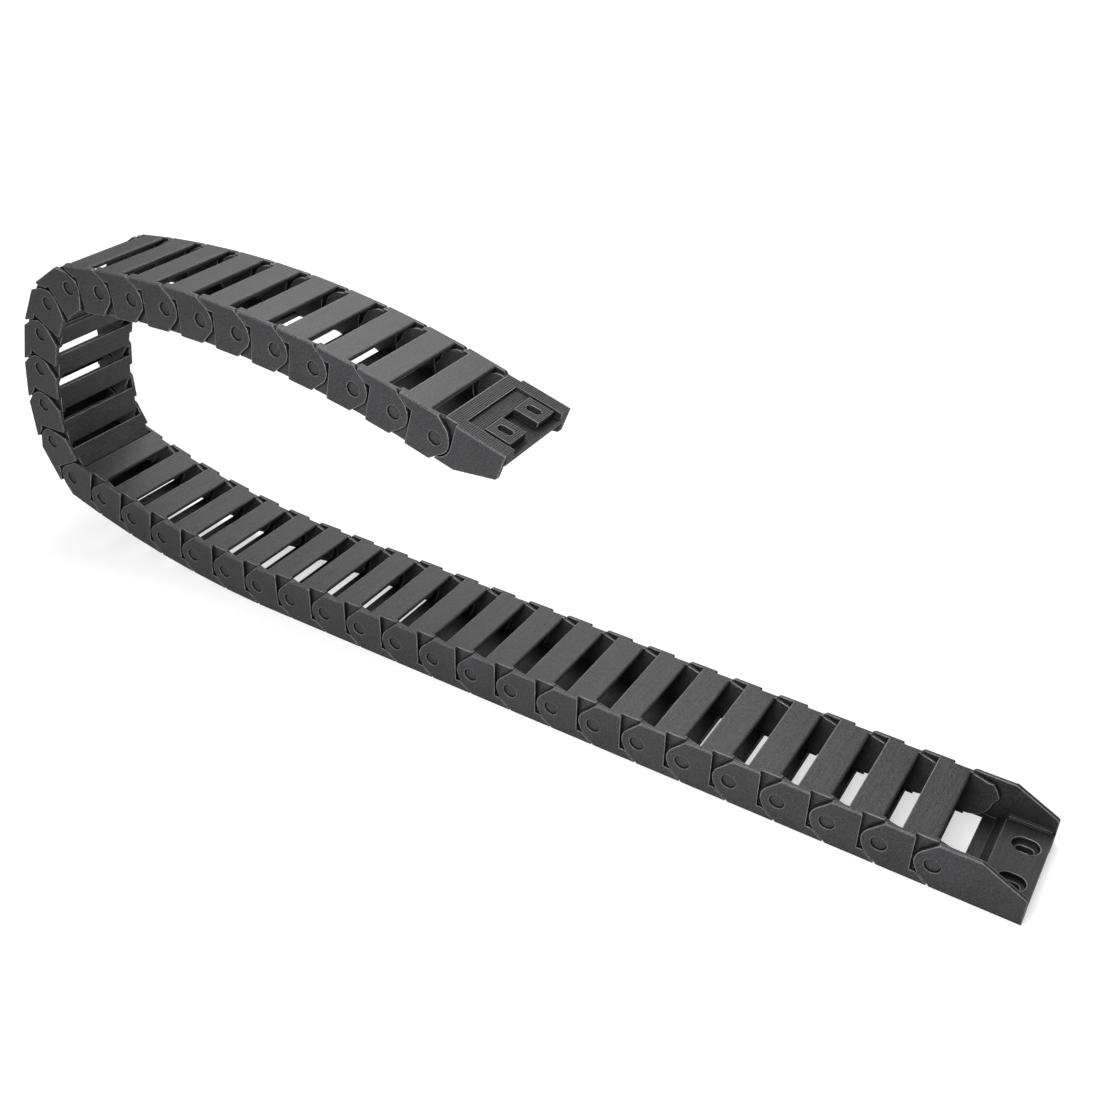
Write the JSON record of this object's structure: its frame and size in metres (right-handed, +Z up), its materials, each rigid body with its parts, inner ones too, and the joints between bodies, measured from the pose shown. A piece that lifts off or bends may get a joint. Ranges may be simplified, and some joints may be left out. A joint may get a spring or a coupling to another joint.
{
  "type": "cable drag chain",
  "caption": "Cable drag chain of hinged one-piece links with snap-in pins, straight and bend stops and a slotted screw-on bracket at each end, folded back over its own lower run.",
  "frame": {"origin": "midway between the fixed bracket's two slots, on the plane of its underside, which is the surface that the lower run lies on", "axes": "+Z is up from that surface; +X points along the chain from the fold towards the fixed bracket's free end; +Y lies across the chain, parallel to every hinge axis"},
  "size_m": [0.6147, 0.059, 0.1887],
  "materials": {
    "charcoal_plastic": "dark slate-grey moulded nylon with a fine matt grain"
  },
  "bodies": {
    "fixed_end_bracket": {"fixed_end_bracket": "charcoal_plastic"},
    "link_01": {"link_01": "charcoal_plastic"},
    "link_02": {"link_02": "charcoal_plastic"},
    "link_03": {"link_03": "charcoal_plastic"},
    "link_04": {"link_04": "charcoal_plastic"},
    "link_05": {"link_05": "charcoal_plastic"},
    "link_06": {"link_06": "charcoal_plastic"},
    "link_07": {"link_07": "charcoal_plastic"},
    "link_08": {"link_08": "charcoal_plastic"},
    "link_09": {"link_09": "charcoal_plastic"},
    "link_10": {"link_10": "charcoal_plastic"},
    "link_11": {"link_11": "charcoal_plastic"},
    "link_12": {"link_12": "charcoal_plastic"},
    "link_13": {"link_13": "charcoal_plastic"},
    "link_14": {"link_14": "charcoal_plastic"},
    "link_15": {"link_15": "charcoal_plastic"},
    "link_16": {"link_16": "charcoal_plastic"},
    "link_17": {"link_17": "charcoal_plastic"},
    "link_18": {"link_18": "charcoal_plastic"},
    "link_19": {"link_19": "charcoal_plastic"},
    "link_20": {"link_20": "charcoal_plastic"},
    "link_21": {"link_21": "charcoal_plastic"},
    "link_22": {"link_22": "charcoal_plastic"},
    "link_23": {"link_23": "charcoal_plastic"},
    "link_24": {"link_24": "charcoal_plastic"},
    "link_25": {"link_25": "charcoal_plastic"},
    "link_26": {"link_26": "charcoal_plastic"},
    "link_27": {"link_27": "charcoal_plastic"},
    "link_28": {"link_28": "charcoal_plastic"},
    "link_29": {"link_29": "charcoal_plastic"},
    "link_30": {"link_30": "charcoal_plastic"},
    "link_31": {"link_31": "charcoal_plastic"},
    "link_32": {"link_32": "charcoal_plastic"},
    "link_33": {"link_33": "charcoal_plastic"},
    "link_34": {"link_34": "charcoal_plastic"},
    "link_35": {"link_35": "charcoal_plastic"},
    "link_36": {"link_36": "charcoal_plastic"},
    "link_37": {"link_37": "charcoal_plastic"},
    "link_38": {"link_38": "charcoal_plastic"},
    "moving_end_bracket": {"moving_end_bracket": "charcoal_plastic"}
  },
  "joints": [
    {"name": "hinge_00", "type": "hinge", "parent": "fixed_end_bracket", "child": "link_01", "pos_m": [-0.032, 0, 0.01325], "axis": [0, 1, 0], "range_deg": [0, 14]},
    {"name": "hinge_01", "type": "hinge", "parent": "link_01", "child": "link_02", "pos_m": [-0.057, 0, 0.01325], "axis": [0, 1, 0], "range_deg": [0, 14]},
    {"name": "hinge_02", "type": "hinge", "parent": "link_02", "child": "link_03", "pos_m": [-0.082, 0, 0.01325], "axis": [0, 1, 0], "range_deg": [0, 14]},
    {"name": "hinge_03", "type": "hinge", "parent": "link_03", "child": "link_04", "pos_m": [-0.107, 0, 0.01325], "axis": [0, 1, 0], "range_deg": [0, 14]},
    {"name": "hinge_04", "type": "hinge", "parent": "link_04", "child": "link_05", "pos_m": [-0.132, 0, 0.01325], "axis": [0, 1, 0], "range_deg": [0, 14]},
    {"name": "hinge_05", "type": "hinge", "parent": "link_05", "child": "link_06", "pos_m": [-0.157, 0, 0.01325], "axis": [0, 1, 0], "range_deg": [0, 14]},
    {"name": "hinge_06", "type": "hinge", "parent": "link_06", "child": "link_07", "pos_m": [-0.182, 0, 0.01325], "axis": [0, 1, 0], "range_deg": [0, 14]},
    {"name": "hinge_07", "type": "hinge", "parent": "link_07", "child": "link_08", "pos_m": [-0.207, 0, 0.01325], "axis": [0, 1, 0], "range_deg": [0, 14]},
    {"name": "hinge_08", "type": "hinge", "parent": "link_08", "child": "link_09", "pos_m": [-0.232, 0, 0.01325], "axis": [0, 1, 0], "range_deg": [0, 14]},
    {"name": "hinge_09", "type": "hinge", "parent": "link_09", "child": "link_10", "pos_m": [-0.257, 0, 0.01325], "axis": [0, 1, 0], "range_deg": [0, 14]},
    {"name": "hinge_10", "type": "hinge", "parent": "link_10", "child": "link_11", "pos_m": [-0.282, 0, 0.01325], "axis": [0, 1, 0], "range_deg": [0, 14]},
    {"name": "hinge_11", "type": "hinge", "parent": "link_11", "child": "link_12", "pos_m": [-0.307, 0, 0.01325], "axis": [0, 1, 0], "range_deg": [0, 14]},
    {"name": "hinge_12", "type": "hinge", "parent": "link_12", "child": "link_13", "pos_m": [-0.332, 0, 0.01325], "axis": [0, 1, 0], "range_deg": [0, 14.5]},
    {"name": "hinge_13", "type": "hinge", "parent": "link_13", "child": "link_14", "pos_m": [-0.357, 0, 0.01325], "axis": [0, 1, 0], "range_deg": [0, 15]},
    {"name": "hinge_14", "type": "hinge", "parent": "link_14", "child": "link_15", "pos_m": [-0.382, 0, 0.01325], "axis": [0, 1, 0], "range_deg": [0, 16.5]},
    {"name": "hinge_15", "type": "hinge", "parent": "link_15", "child": "link_16", "pos_m": [-0.407, 0, 0.01325], "axis": [0, 1, 0], "range_deg": [0, 18]},
    {"name": "hinge_16", "type": "hinge", "parent": "link_16", "child": "link_17", "pos_m": [-0.432, 0, 0.01325], "axis": [0, 1, 0], "range_deg": [-2.8, 16]},
    {"name": "hinge_17", "type": "hinge", "parent": "link_17", "child": "link_18", "pos_m": [-0.45697, 0, 0.01447], "axis": [0, 1, 0], "range_deg": [-2.8, 17]},
    {"name": "hinge_18", "type": "hinge", "parent": "link_18", "child": "link_19", "pos_m": [-0.48185, 0, 0.01691], "axis": [0, 1, 0], "range_deg": [-2.8, 15.5]},
    {"name": "hinge_19", "type": "hinge", "parent": "link_19", "child": "link_20", "pos_m": [-0.50658, 0, 0.02056], "axis": [0, 1, 0], "range_deg": [-2.8, 10]},
    {"name": "hinge_20", "type": "hinge", "parent": "link_20", "child": "link_21", "pos_m": [-0.53111, 0, 0.02542], "axis": [0, 1, 0], "range_deg": [-2.8, 4]},
    {"name": "hinge_21", "type": "hinge", "parent": "link_21", "child": "link_22", "pos_m": [-0.55536, 0, 0.03147], "axis": [0, 1, 0], "range_deg": [-2.8, 1]},
    {"name": "hinge_22", "type": "hinge", "parent": "link_22", "child": "link_23", "pos_m": [-0.5793, 0, 0.03869], "axis": [0, 1, 0], "range_deg": [-45.5, 1]},
    {"name": "hinge_23", "type": "hinge", "parent": "link_23", "child": "link_24", "pos_m": [-0.59092, 0, 0.06083], "axis": [0, 1, 0], "range_deg": [-26.5, 1]},
    {"name": "hinge_24", "type": "hinge", "parent": "link_24", "child": "link_25", "pos_m": [-0.59144, 0, 0.08582], "axis": [0, 1, 0], "range_deg": [-10.5, 1]},
    {"name": "hinge_25", "type": "hinge", "parent": "link_25", "child": "link_26", "pos_m": [-0.5874, 0, 0.11049], "axis": [0, 1, 0], "range_deg": [-7.5, 1]},
    {"name": "hinge_26", "type": "hinge", "parent": "link_26", "child": "link_27", "pos_m": [-0.58018, 0, 0.13443], "axis": [0, 1, 0], "range_deg": [-13, 1]},
    {"name": "hinge_27", "type": "hinge", "parent": "link_27", "child": "link_28", "pos_m": [-0.56775, 0, 0.15612], "axis": [0, 1, 0], "range_deg": [-26.5, 1]},
    {"name": "hinge_28", "type": "hinge", "parent": "link_28", "child": "link_29", "pos_m": [-0.54695, 0, 0.16999], "axis": [0, 1, 0], "range_deg": [-27, 1]},
    {"name": "hinge_29", "type": "hinge", "parent": "link_29", "child": "link_30", "pos_m": [-0.52212, 0, 0.17291], "axis": [0, 1, 0], "range_deg": [-2.5, 18.5]},
    {"name": "hinge_30", "type": "hinge", "parent": "link_30", "child": "link_31", "pos_m": [-0.49719, 0, 0.17474], "axis": [0, 1, 0], "range_deg": [-2.5, 18.5]},
    {"name": "hinge_31", "type": "hinge", "parent": "link_31", "child": "link_32", "pos_m": [-0.4722, 0, 0.17548], "axis": [0, 1, 0], "range_deg": [-2.5, 19]},
    {"name": "hinge_32", "type": "hinge", "parent": "link_32", "child": "link_33", "pos_m": [-0.4472, 0, 0.17513], "axis": [0, 1, 0], "range_deg": [-2.5, 21]},
    {"name": "hinge_33", "type": "hinge", "parent": "link_33", "child": "link_34", "pos_m": [-0.42224, 0, 0.17369], "axis": [0, 1, 0], "range_deg": [-2.5, 24.5]},
    {"name": "hinge_34", "type": "hinge", "parent": "link_34", "child": "link_35", "pos_m": [-0.39737, 0, 0.17117], "axis": [0, 1, 0], "range_deg": [-2.5, 27.5]},
    {"name": "hinge_35", "type": "hinge", "parent": "link_35", "child": "link_36", "pos_m": [-0.37263, 0, 0.16756], "axis": [0, 1, 0], "range_deg": [-2.5, 34.5]},
    {"name": "hinge_36", "type": "hinge", "parent": "link_36", "child": "link_37", "pos_m": [-0.34808, 0, 0.16287], "axis": [0, 1, 0], "range_deg": [-2.5, 40.5]},
    {"name": "hinge_37", "type": "hinge", "parent": "link_37", "child": "link_38", "pos_m": [-0.32375, 0, 0.15712], "axis": [0, 1, 0], "range_deg": [-2.5, 45]},
    {"name": "hinge_38", "type": "hinge", "parent": "link_38", "child": "moving_end_bracket", "pos_m": [-0.29969, 0, 0.15032], "axis": [0, 1, 0], "range_deg": [-28, 0]}
  ]
}
